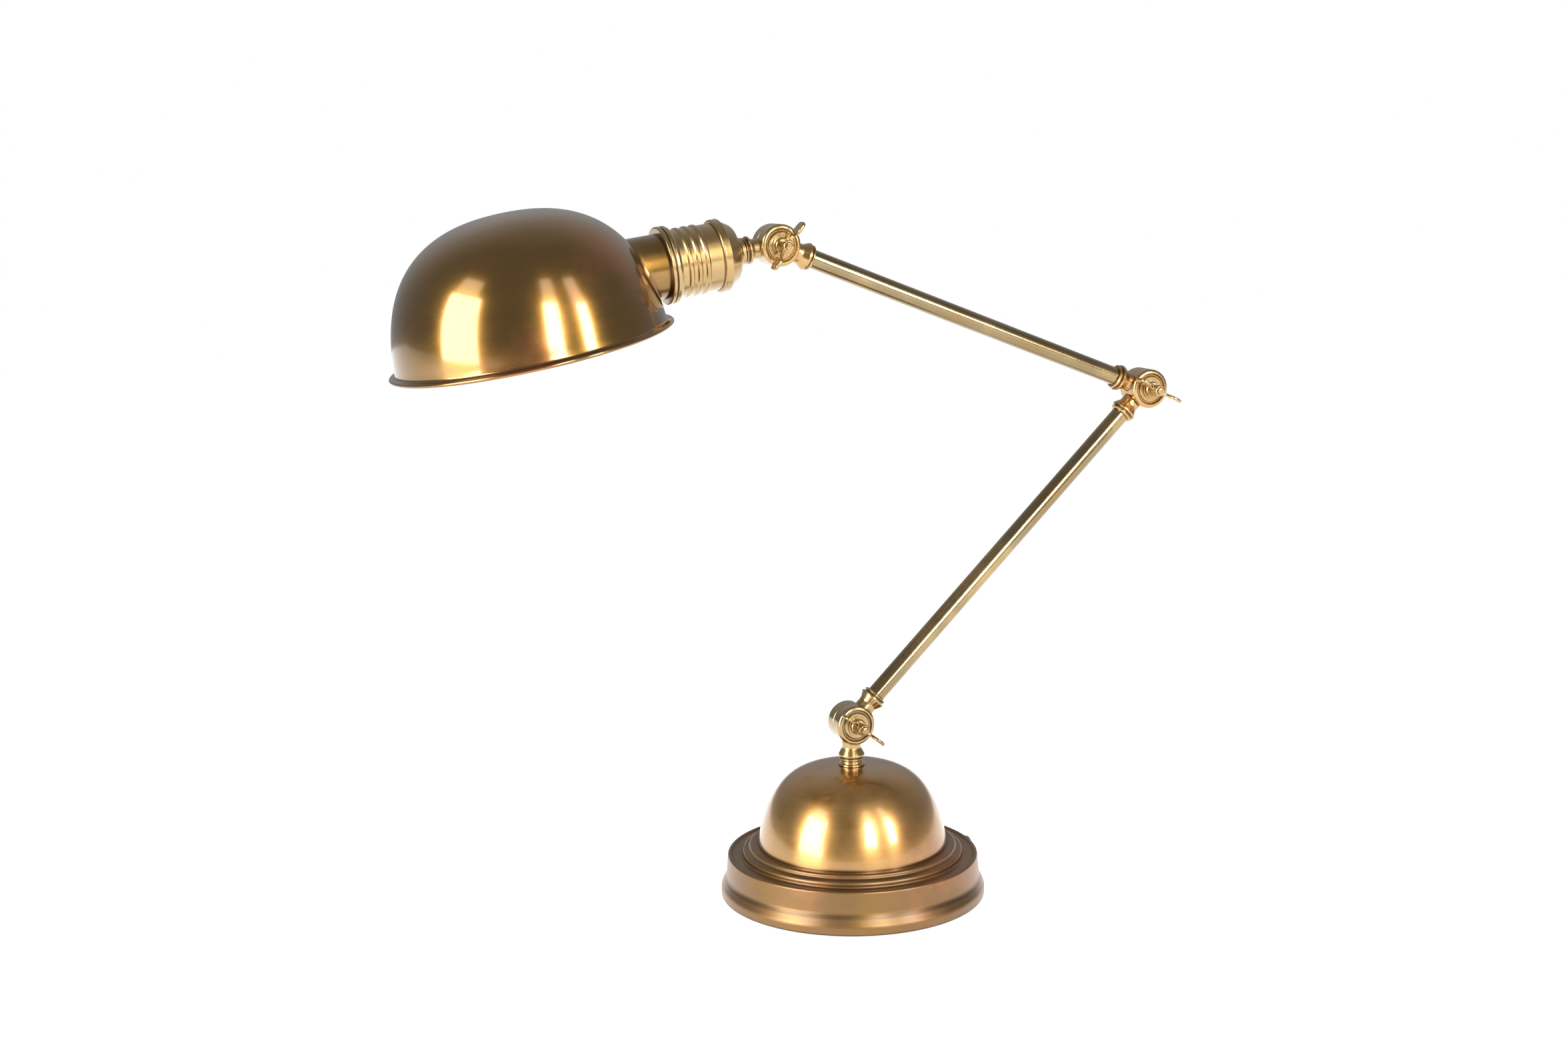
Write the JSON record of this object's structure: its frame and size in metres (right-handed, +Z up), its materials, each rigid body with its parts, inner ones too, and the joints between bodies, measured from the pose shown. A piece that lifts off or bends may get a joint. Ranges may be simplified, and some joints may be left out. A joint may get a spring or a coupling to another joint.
{
  "type": "desk lamp",
  "caption": "Desk lamp with a round weighted foot, two straight tube arms on wing-nut knuckle joints and a deep domed metal shade over a bulb holder.",
  "frame": {"origin": "middle of the underside of the felt pad, on the table", "axes": "+Z up; both arms lie in the XZ plane, the elbow is on +X and the shade on -X; the hinges turn about Y and the wing nuts face -Y"},
  "size_m": [0.5227, 0.1742, 0.4534],
  "materials": {
    "spun_brass": "antique brass under clear lacquer, glossy, with dark brown toning",
    "cast_brass": "antique brass casting, polished high spots and dark brown recesses",
    "tube_brass": "antique brass tube, paler, glossy",
    "turned_brass": "antique brass, lathe turned, glossy",
    "screw_brass": "antique brass, rubbed bright at the edges",
    "contact_brass": "plain bright brass",
    "felt": "dark brown pressed felt",
    "plain_steel": "zinc-plated steel",
    "cast_weight": "sand-cast iron, unpainted",
    "porcelain": "glazed white porcelain",
    "frosted_glass": "frosted glass bulb"
  },
  "bodies": {
    "base": {"felt_pad": "felt", "base_plate": "plain_steel", "plate_screws": "plain_steel", "base_weight": "cast_weight", "base_skirt": "spun_brass", "base_dome": "spun_brass", "stem_washer": "plain_steel", "stem_nut": "plain_steel", "threaded_stem": "tube_brass", "cord_grommet": "turned_brass", "neck_ring": "turned_brass", "base_knuckle": "cast_brass", "base_pin": "screw_brass", "base_pin_washers": "screw_brass"},
    "lower_arm": {"lower_arm_tube": "tube_brass", "lower_arm_first_knuckle": "cast_brass", "lower_arm_last_knuckle": "cast_brass", "elbow_pin": "screw_brass", "elbow_pin_washers": "screw_brass"},
    "upper_arm": {"upper_arm_tube": "tube_brass", "upper_arm_first_knuckle": "cast_brass", "upper_arm_last_knuckle": "cast_brass", "head_pin": "screw_brass", "head_pin_washers": "screw_brass"},
    "head": {"head_knuckle": "cast_brass", "head_nipple": "tube_brass", "cap_nut": "turned_brass", "socket_cap": "turned_brass", "socket_sleeve": "turned_brass", "gallery_ring": "turned_brass", "lampholder_body": "porcelain", "thread_shell": "contact_brass", "centre_contact": "contact_brass", "bulb_cap": "contact_brass", "bulb_glass": "frosted_glass", "shade_neck": "spun_brass", "shade": "spun_brass"},
    "base_nut": {"base_wing_nut": "screw_brass"},
    "elbow_nut": {"elbow_wing_nut": "screw_brass"},
    "head_nut": {"head_wing_nut": "screw_brass"}
  },
  "joints": [
    {"name": "base_tilt", "type": "hinge", "parent": "base", "child": "lower_arm", "pos_m": [0, 0, 0.1155], "axis": [0, -1, 0], "range_deg": [-54, 56]},
    {"name": "elbow_fold", "type": "hinge", "parent": "lower_arm", "child": "upper_arm", "pos_m": [0.21573, 0, 0.32455], "axis": [0, 1, 0], "range_deg": [-8, 115]},
    {"name": "head_tilt", "type": "hinge", "parent": "upper_arm", "child": "head", "pos_m": [-0.04804, 0, 0.42739], "axis": [0, -1, 0], "range_deg": [-60, 75]},
    {"name": "base_nut_turn", "type": "hinge", "parent": "base", "child": "base_nut", "pos_m": [0, 0, 0.1155], "axis": [0, -1, 0], "range_deg": [-15, 180]},
    {"name": "elbow_nut_turn", "type": "hinge", "parent": "lower_arm", "child": "elbow_nut", "pos_m": [0.21573, 0, 0.32455], "axis": [0, -1, 0], "range_deg": [-15, 180]},
    {"name": "head_nut_turn", "type": "hinge", "parent": "upper_arm", "child": "head_nut", "pos_m": [-0.04804, 0, 0.42739], "axis": [0, -1, 0], "range_deg": [-15, 180]}
  ]
}
